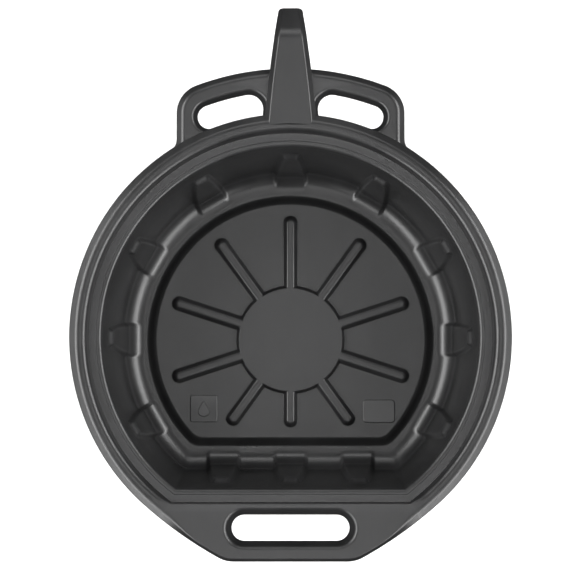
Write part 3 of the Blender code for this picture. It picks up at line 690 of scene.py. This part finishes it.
def stadium(grow, z):
    """The front slot's outline, grown outwards, at one level."""
    radius = SLOT_WIDTH / 2 + grow
    reach = (SLOT_LENGTH - SLOT_WIDTH) / 2
    points = []
    for side in (1, -1):
        for k in range(33):
            angle = math.pi * k / 32 - side * math.pi / 2
            points.append((side * reach + radius * math.cos(angle), SLOT_Y + radius * math.sin(angle), z))
        points += [(x, SLOT_Y + side * radius, z) for x in spread(side * reach, -side * reach, 20)]
    return points


def front_grip(points, normals):
    """The flat side's plate: outer flank, crisp step to the ledge, and the rolled finger slot."""
    order = np.r_[BEAD_COLUMNS : len(points), 0]
    flank = flank_rows(points[order], normals[order])
    # The broad flank of the bead runs out into a narrow edge round the plate
    for column in range(len(order)):
        share = ease(min(column, len(order) - 1 - column) / FLANK_RUNOUT)
        for row, (inset, _) in enumerate(flank_section()):
            if row < FLANK_TOP_ROWS:
                narrowed = inset * share * (1 - FLANK_NARROW)
                flank[row, column, :2] += normals[order][column] * narrowed
    across = np.linspace(-SEAM_X, SEAM_X, STEP_COLUMNS)
    step = []
    section = [(WALL, HEIGHT - WALL), (WALL, LEDGE_Z - WALL)] + rise_section(SEAM_ROLL, SEAM_LEAN)
    for out, z in section:
        grow = 1 + out / -STEP_Y
        level = np.full(STEP_COLUMNS, z)
        step.append(np.column_stack([across * grow, np.full(STEP_COLUMNS, STEP_Y - out), level]))
    step = np.array(step)
    edge = flared_edge(*SLOT_EDGE)
    slot = [stadium(inset, HEIGHT - drop) for inset, drop in edge[::-1]]
    slot += [stadium(SKIRT_EDGE, SKIRT_Z), stadium(WALL + SKIRT_EDGE, SKIRT_Z)]
    slot.append(stadium(edge[-1][0] + SLOT_UNDER_GROW, HEIGHT - WALL))
    shell = Shell()
    shell.sheet(flank, first=UP, last=UP)
    shell.sheet(step, first=UP, last=UP)
    shell.sheet(slot, wrap=True, first=UP, last=UP)
    shell.fill([np.concatenate([flank[0], step[-1][::-1]]), slot[0]])
    shell.fill([np.concatenate([flank[-1], step[0][::-1]]), slot[-1]])
    for end in (0, -1):
        shell.fill([np.concatenate([flank[:, end], step[:, end]])])
    shell.piece("front_grip_skin", "front_grip")


# ---------------------------------------------------------------- side grips

PLATE_Z = 119.0
PLATE_UNDER_Z = 116.0
GRIP_RADIUS = 243.9
GRIP_SIDE_X = -103.5
GRIP_CORNER = 27.0
GRIP_FLARE = 13.0
GRIP_SLOT_INNER = 202.3
GRIP_SLOT_OUTER = 223.5
GRIP_SLOT_CORNER = 13.0
GRIP_SLOT_RIGHT = -24.9
GRIP_SLOT_FOOT_Y = 199.6
GRIP_SLOT_SLANT = math.radians(-6)          # of the slot's side beside the tongue
GRIP_SLOT_END = math.atan2(199.7, -73.8)    # direction of the slot's round end
FLARE_STAND = 0.9        # the flares meet the oval rim this far outside its circle
GRIP_EDGE = (4.6, 7.0, math.radians(38))    # depth, roll and lean of the outer edge's slope
GRIP_SLOT_EDGE = (8.8, 4.0, math.radians(66))
GRIP_SLOT_REACH = flared_edge(*GRIP_SLOT_EDGE)[-1][0]
SLOT_ROOM_SHARE = 0.85   # how much of the room beside the tongue the slot's edge may take
# Undersides as (distance in, z), from the hollow out to the skirt's edge
GRIP_UNDER = ((8.0, PLATE_UNDER_Z), (3.2, 112.9), (3.0, SKIRT_Z), (0.0, SKIRT_Z))
GRIP_SLOT_UNDER = ((7.5, PLATE_UNDER_Z), (6.2, 114.9), (3.3, SKIRT_Z), (0.0, SKIRT_Z))
RIM_CLAMP = 198.6        # inside the bead's skirt, where the grips and the tongue are rooted
TONGUE_BASE_Y = 204.0
TONGUE_BASE_HALF = 23.1
TONGUE_TAPER = 0.095
TONGUE_BOW = 0.00033
TONGUE_COVER = 4.5       # how far the grips reach in under the tongue's sides


def arc_path(centre, radius, start, end, steps, outward):
    """Points with normals along an arc. outward is 1 where the material is inside the arc."""
    path = []
    for k in range(steps + 1):
        angle = start + (end - start) * k / steps
        normal = (outward * math.cos(angle), outward * math.sin(angle))
        path.append((centre[0] + radius * math.cos(angle), centre[1] + radius * math.sin(angle), *normal))
    return path


def tongue_half_width(y):
    """Half width of the tongue's skirt."""
    along = y - TONGUE_BASE_Y
    return TONGUE_BASE_HALF - TONGUE_TAPER * along - TONGUE_BOW * along**2


def grip_edge_path():
    """The left grip's outer edge as (x, y, normal x, normal y), from its flare to the tongue."""
    flare_x = GRIP_SIDE_X - GRIP_FLARE
    flare = (flare_x, math.sqrt((RIM_RADIUS + FLARE_STAND + GRIP_FLARE) ** 2 - flare_x**2))
    toward = math.atan2(-flare[1], -flare[0])
    path = arc_path(flare, GRIP_FLARE, toward, 0, 16, -1)
    corner_x = GRIP_SIDE_X + GRIP_CORNER
    corner = (corner_x, math.sqrt((GRIP_RADIUS - GRIP_CORNER) ** 2 - corner_x**2))
    path += [(GRIP_SIDE_X, y, -1.0, 0.0) for y in spread(flare[1], corner[1], 10)]
    turn = math.atan2(corner[1], corner[0])
    path += arc_path(corner, GRIP_CORNER, math.pi, turn, 28, 1)
    last = math.acos((TONGUE_COVER - tongue_half_width(GRIP_RADIUS)) / GRIP_RADIUS)
    return path + arc_path((0, 0), GRIP_RADIUS, turn, last, 40, 1)[1:]


def grip_slot_path():
    """The left grip's slot edge in the same form, from beside the tongue to its round end."""
    middle = (GRIP_SLOT_INNER + GRIP_SLOT_OUTER) / 2
    round_end = (GRIP_SLOT_OUTER - GRIP_SLOT_INNER) / 2
    centre_x = GRIP_SLOT_RIGHT - GRIP_SLOT_CORNER
    centre = (centre_x, math.sqrt((GRIP_SLOT_OUTER - GRIP_SLOT_CORNER) ** 2 - centre_x**2))
    slant = GRIP_SLOT_SLANT
    x, y, *normal = arc_path(centre, GRIP_SLOT_CORNER, slant, slant, 1, -1)[0]
    foot_x = x + math.tan(slant) * (y - GRIP_SLOT_FOOT_Y)
    path = []
    for share in (0, 0.25, 0.5, 0.75):
        place = (foot_x + (x - foot_x) * share, GRIP_SLOT_FOOT_Y + (y - GRIP_SLOT_FOOT_Y) * share)
        path.append((*place, *normal))
    turn = math.atan2(centre[1], centre[0])
    path += arc_path(centre, GRIP_SLOT_CORNER, slant, turn, 20, -1)
    end = GRIP_SLOT_END
    path += arc_path((0, 0), GRIP_SLOT_OUTER, turn, end, 24, -1)[1:]
    end_centre = (middle * math.cos(end), middle * math.sin(end))
    return path + arc_path(end_centre, round_end, end, end + math.pi, 32, -1)[1:]


def grip_levels():
    """Levels of the outer edge and of the slot edge, each as (distance in, z), from below to the top."""
    edge = [(inset, PLATE_Z - drop) for inset, drop in flared_edge(*GRIP_EDGE)]
    roll = [(inset, PLATE_Z - drop) for inset, drop in flared_edge(*GRIP_SLOT_EDGE)]
    return list(zip([*GRIP_UNDER, *edge], [*GRIP_SLOT_UNDER, *roll]))


def grip_point(point, inset, z):
    """A point of an edge path, moved in by a distance as far as the tongue and the rim allow."""
    room = TONGUE_COVER - point[0] - tongue_half_width(point[1])
    inset = min(inset, inset * SLOT_ROOM_SHARE * room / GRIP_SLOT_REACH)
    x, y = point[0] - point[2] * inset, point[1] - point[3] * inset
    # Nothing reaches further in than the bead's skirt
    push = max(1.0, 1 / math.hypot(x / RIM_CLAMP, y / (RIM_CLAMP * OVAL)))
    return x * push, y * push, z


def side_grip(node, mirror):
    """A slotted grip, whose hidden borders lie inside the tongue's skirt and the bead's."""
    outer, slot = grip_edge_path(), grip_slot_path()
    hidden = [(TONGUE_COVER - tongue_half_width(y), y) for y in spread(outer[-1][1], slot[0][1], 6)]
    hidden.append((TONGUE_COVER - tongue_half_width(slot[0][1]), slot[0][1]))
    start, end = (math.atan2(p[1], p[0]) for p in (slot[-1], outer[0]))
    rim = [(RIM_CLAMP * math.cos(a), RIM_CLAMP * OVAL * math.sin(a)) for a in spread(start, end, 10)]
    rows = []
    for (outer_in, outer_z), (slot_in, slot_z) in grip_levels():
        hidden_z = max(PLATE_UNDER_Z, outer_z)
        row = [grip_point(point, outer_in, outer_z) for point in outer]
        row += [(x, y, hidden_z) for x, y in hidden]
        row += [grip_point(point, slot_in, slot_z) for point in slot]
        row += [(x, y, hidden_z) for x, y in rim]
        rows.append(row)
    level = [(0.0, 0.0, 0.0)] * len(rows[0])
    slot_start = len(outer) + len(hidden)
    level[slot_start : slot_start + len(slot)] = [UP] * len(slot)
    shell = Shell()
    shell.sheet(rows, wrap=True, last=level)
    shell.fill([rows[0]])
    shell.fill([rows[-1]])
    shell.piece(node + "_skin", node, mirror)


# ---------------------------------------------------------------- tongue

TIP_Y = 301.0
TIP_FLAT = 6.4           # half the straight part of the tip
TIP_CORNER = 5.2
TIP_TAPER = 1.15         # power of the narrowing beyond the bend
BEND_Y = 269.0
BEND_ANGLE = math.radians(36)
BEND_RADIUS = 20.0
ROOT_Y = 192.2
TONGUE_DEPTH = 14.0
TONGUE_EDGE = (4.6, 2.8, math.radians(46))  # depth, roll and lean of the sides' top
TONGUE_EDGE_INSET = 0.3  # the foot of that slope lies this far inside the skirt's edge
TONGUE_UNDER = ((2.8, -TONGUE_DEPTH), (3.1, -7.6), (5.6, -3.6), (7.4, -WALL))
# Over these places along the root the skirt comes down from under the bead to its full depth
SKIRT_START_Y = (197.5, 200.2)
SKIRT_START_DEPTH = (-3.4, -TONGUE_DEPTH)


def bend_tip(x, y, z):
    """Rolls the tongue's far end down over an arc and then straight on."""
    if y <= BEND_Y:
        return x, y, z
    angle = min((y - BEND_Y) / BEND_RADIUS, BEND_ANGLE)
    rest = (y - BEND_Y) - angle * BEND_RADIUS
    rise = z - HEIGHT + BEND_RADIUS
    bent_y = BEND_Y + rise * math.sin(angle) + rest * math.cos(angle)
    return x, bent_y, HEIGHT - BEND_RADIUS + rise * math.cos(angle) - rest * math.sin(angle)


def tongue_path(length):
    """Right-hand edge of the flat tongue from its root to the middle of its tip, with normals."""
    corner_y = length - TIP_CORNER
    bend_half = tongue_half_width(BEND_Y)
    slack = bend_half - TIP_FLAT - TIP_CORNER
    path = []
    for y in np.linspace(ROOT_Y, corner_y, 90):
        half = tongue_half_width(y)
        if y > BEND_Y:
            half = bend_half - slack * ((y - BEND_Y) / (corner_y - BEND_Y)) ** TIP_TAPER
        path.append((half, y))
    path = np.array(path)
    along = np.gradient(path, axis=0)
    normals = np.stack([along[:, 1], -along[:, 0]], axis=1)
    normals /= np.linalg.norm(normals, axis=1, keepdims=True)
    points = [(*p, *n) for p, n in zip(path.tolist(), normals.tolist())][:-1]
    lean = math.atan2(normals[-2][1], normals[-2][0])
    points += arc_path((TIP_FLAT, corner_y), TIP_CORNER, lean, math.pi / 2, 20, 1)
    return points


def tongue_sections():
    """Outer and under sections as (distance in from the edge, height over the top)."""
    outer = [(0.0, -TONGUE_DEPTH)]
    outer += [(TONGUE_EDGE_INSET + inset, -drop) for inset, drop in flared_edge(*TONGUE_EDGE)]
    return outer, TONGUE_UNDER


def tongue_rows(section, path):
    """Rows of bent points, each running up the right side, round the tip and back down the left."""
    rows = []
    for inset, z in section:
        right = []
        for x, y, normal_x, normal_y in path:
            # The skirt starts inside the bead's own skirt and not in the hollow behind it
            lowest = float(np.interp(y, SKIRT_START_Y, SKIRT_START_DEPTH))
            point_z = HEIGHT + max(z, lowest)
            right.append(bend_tip(x - normal_x * inset, y - normal_y * inset, point_z))
        rows.append(right + [(-x, y, z) for x, y, z in right[::-1]])
    return np.array(rows)


def hook_tongue():
    """The tongue: a flat-topped bar with sloping sides, hollow below, its tip rolled down."""
    outer_section, under_section = tongue_sections()
    length = TIP_Y
    # The flat length is found in a few rounds, so that the bent tip ends at TIP_Y
    for _ in range(4):
        outer = tongue_rows(outer_section, tongue_path(length))
        length += (TIP_Y - outer[:, :, 1].max()) / math.cos(BEND_ANGLE)
    under = tongue_rows(under_section, tongue_path(length))
    half = outer.shape[1] // 2
    shell = Shell()
    for rows in (outer, under):
        right, left = rows[-1][:half], rows[-1][half:][::-1]
        near, far = band_normals(np.stack([right, left], axis=1), False)
        flat = np.concatenate([near[:, 0], far[-1:, 0]])
        flat *= np.sign(flat[:, 2:3])
        shell.sheet(np.stack([right, left], axis=1))
        shell.sheet(rows, last=np.concatenate([flat, flat[::-1]]))
    shell.sheet([outer[0], under[0]])
    root = np.concatenate([outer[:, 0], outer[::-1, -1], under[:, -1], under[::-1, 0]])
    shell.fill([root])
    shell.piece("hook_tongue_skin", "hook_tongue")


# ---------------------------------------------------------------- finish

BASE_TONE = 0.0115
BASE_ROUGHNESS = 0.34


def add_node(tree, kind, **inputs):
    node = tree.nodes.new(kind)
    for name, value in inputs.items():
        node.inputs[name.replace("_", " ")].default_value = value
    return node


def noise(tree, coordinates, scale, detail=4.0, roughness=0.55):
    node = add_node(tree, "ShaderNodeTexNoise", Scale=scale, Detail=detail, Roughness=roughness)
    tree.links.new(coordinates, node.inputs["Vector"])
    return node.outputs["Fac"]


def remap(tree, value, low, high, to_low, to_high):
    node = add_node(
        tree, "ShaderNodeMapRange", From_Min=low, From_Max=high, To_Min=to_low, To_Max=to_high
    )
    tree.links.new(value, node.inputs["Value"])
    return node.outputs["Result"]


def math_node(tree, operation, first, second):
    node = tree.nodes.new("ShaderNodeMath")
    node.operation = operation
    tree.links.new(first, node.inputs[0])
    if isinstance(second, float):
        node.inputs[1].default_value = second
    else:
        tree.links.new(second, node.inputs[1])
    return node.outputs["Value"]


def plastic():
    """Satin black polyethylene: fine moulded grain, faint flow marks, dust and lightly rubbed edges."""
    material = bpy.data.materials.new("black_moulded_plastic")
    material.use_nodes = True
    tree = material.node_tree
    shader = tree.nodes["Principled BSDF"]
    place = tree.nodes.new("ShaderNodeTexCoord").outputs["Object"]
    clouds = noise(tree, place, 14.0)
    grain = noise(tree, place, 1400.0, detail=2.0)
    fine = noise(tree, place, 5200.0, detail=1.0)
    stretch = tree.nodes.new("ShaderNodeMapping")
    stretch.inputs["Scale"].default_value = (70.0, 9.0, 30.0)
    tree.links.new(place, stretch.inputs["Vector"])
    streaks = noise(tree, stretch.outputs["Vector"], 1.0, detail=5.0)
    edges = tree.nodes.new("ShaderNodeNewGeometry").outputs["Pointiness"]
    rubbed = remap(tree, edges, 0.505, 0.56, 0.0, 1.0)

    tone = remap(tree, clouds, 0.3, 0.7, -0.003, 0.003)
    tone = math_node(tree, "ADD", tone, remap(tree, streaks, 0.3, 0.7, -0.0015, 0.0015))
    tone = math_node(tree, "ADD", tone, remap(tree, grain, 0.25, 0.75, -0.002, 0.002))
    tone = math_node(tree, "ADD", tone, math_node(tree, "MULTIPLY", rubbed, 0.006))
    tone = math_node(tree, "ADD", tone, BASE_TONE)
    colour = tree.nodes.new("ShaderNodeCombineColor")
    tree.links.new(tone, colour.inputs["Red"])
    tree.links.new(tone, colour.inputs["Green"])
    tree.links.new(math_node(tree, "MULTIPLY", tone, 1.03), colour.inputs["Blue"])
    tree.links.new(colour.outputs["Color"], shader.inputs["Base Color"])

    rough = remap(tree, clouds, 0.3, 0.7, -0.03, 0.03)
    rough = math_node(tree, "ADD", rough, remap(tree, streaks, 0.3, 0.7, -0.025, 0.025))
    rough = math_node(tree, "ADD", rough, math_node(tree, "MULTIPLY", rubbed, -0.05))
    rough = math_node(tree, "ADD", rough, BASE_ROUGHNESS)
    tree.links.new(rough, shader.inputs["Roughness"])

    height = math_node(tree, "ADD", grain, math_node(tree, "MULTIPLY", fine, 0.35))
    bump = add_node(tree, "ShaderNodeBump", Strength=0.35, Distance=0.00012)
    tree.links.new(height, bump.inputs["Height"])
    tree.links.new(bump.outputs["Normal"], shader.inputs["Normal"])
    shader.inputs["IOR"].default_value = 1.5
    return material


def floor_material():
    material = bpy.data.materials.new("pale_floor")
    material.use_nodes = True
    tree = material.node_tree
    shader = tree.nodes["Principled BSDF"]
    place = tree.nodes.new("ShaderNodeTexCoord").outputs["Object"]
    tone = remap(tree, noise(tree, place, 3.0), 0.3, 0.7, 0.90, 0.92)
    colour = tree.nodes.new("ShaderNodeCombineColor")
    for channel in ("Red", "Green", "Blue"):
        tree.links.new(tone, colour.inputs[channel])
    tree.links.new(colour.outputs["Color"], shader.inputs["Base Color"])
    shader.inputs["Roughness"].default_value = 0.8
    return material


# ---------------------------------------------------------------- studio (in metres and watts)

FLOOR_REACH = 3.0
FLOOR_DROP = 0.0005      # keeps the floor just clear of the pan's stand face
CAMERA_DISTANCE = 2.5
CAMERA_LEAN = math.radians(2.56)
CAMERA_TARGET = (-0.0005, 0.0418 + BOWL_CENTRE_Y * MM, HEIGHT * MM)
FRAME_WIDTH = 0.523      # what the picture's width covers at the target
SENSOR_WIDTH = 36


def studio_floor():
    mesh = bpy.data.meshes.new("studio_floor")
    corners = [(x * FLOOR_REACH, y * FLOOR_REACH, 0) for x, y in ((-1, -1), (1, -1), (1, 1), (-1, 1))]
    mesh.from_pydata(corners, [], [(0, 1, 2, 3)])
    floor = bpy.data.objects.new("studio_floor", mesh)
    floor.location.z = -FLOOR_DROP
    bpy.context.collection.objects.link(floor)
    mesh.materials.append(floor_material())
    # A pale floor would otherwise shine in every steep side of the black plastic
    floor.visible_glossy = False


def area_light(name, place, target, size, power):
    """A soft rectangular light that faces a point."""
    light = bpy.data.lights.new(name, "AREA")
    light.shape = "RECTANGLE"
    light.size, light.size_y = size
    light.energy = power
    item = bpy.data.objects.new(name, light)
    item.location = place
    item.rotation_euler = (Vector(target) - Vector(place)).to_track_quat("-Z", "Y").to_euler()
    bpy.context.collection.objects.link(item)


def studio_lights():
    """Strong side lights, a narrow top light, and weak ones from the front and the back."""
    middle = (0.0, 0.0, 0.08)
    for name, side in (("left_light", -1), ("right_light", 1)):
        area_light(name, (side * 2.1, -0.9, 1.7), (0.0, -0.9, 0.08), (5.2, 1.0), 184)
    area_light("top_light", (0.0, -0.1, 3.2), middle, (0.26, 2.4), 16)
    area_light("front_light", (0.0, -1.5, 2.5), middle, (1.8, 0.6), 13)
    area_light("back_light", (0.0, 2.0, 1.6), middle, (1.8, 0.7), 16)
    world = bpy.data.worlds.new("studio_air")
    world.use_nodes = True
    world.node_tree.nodes["Background"].inputs["Color"].default_value = (1, 1, 1, 1)
    world.node_tree.nodes["Background"].inputs["Strength"].default_value = 0.04
    bpy.context.scene.world = world
    bpy.context.scene.view_settings.view_transform = "Standard"


def camera():
    """Nearly straight down, leaning a little from the flat side."""
    data = bpy.data.cameras.new("camera")
    data.sensor_width = SENSOR_WIDTH
    data.lens = SENSOR_WIDTH * CAMERA_DISTANCE / FRAME_WIDTH
    item = bpy.data.objects.new("camera", data)
    away = Vector((0, -math.sin(CAMERA_LEAN), math.cos(CAMERA_LEAN)))
    item.location = Vector(CAMERA_TARGET) + away * CAMERA_DISTANCE
    item.rotation_euler = (CAMERA_LEAN, 0, 0)
    bpy.context.collection.objects.link(item)
    bpy.context.scene.camera = item


PLASTIC = plastic()


def main():
    bowl_pieces()
    rim_bead(*rim_edge())
    front_grip(*rim_edge()[1:])
    side_grip("left_grip", mirror=False)
    side_grip("right_grip", mirror=True)
    hook_tongue()
    studio_floor()
    studio_lights()
    camera()


main()
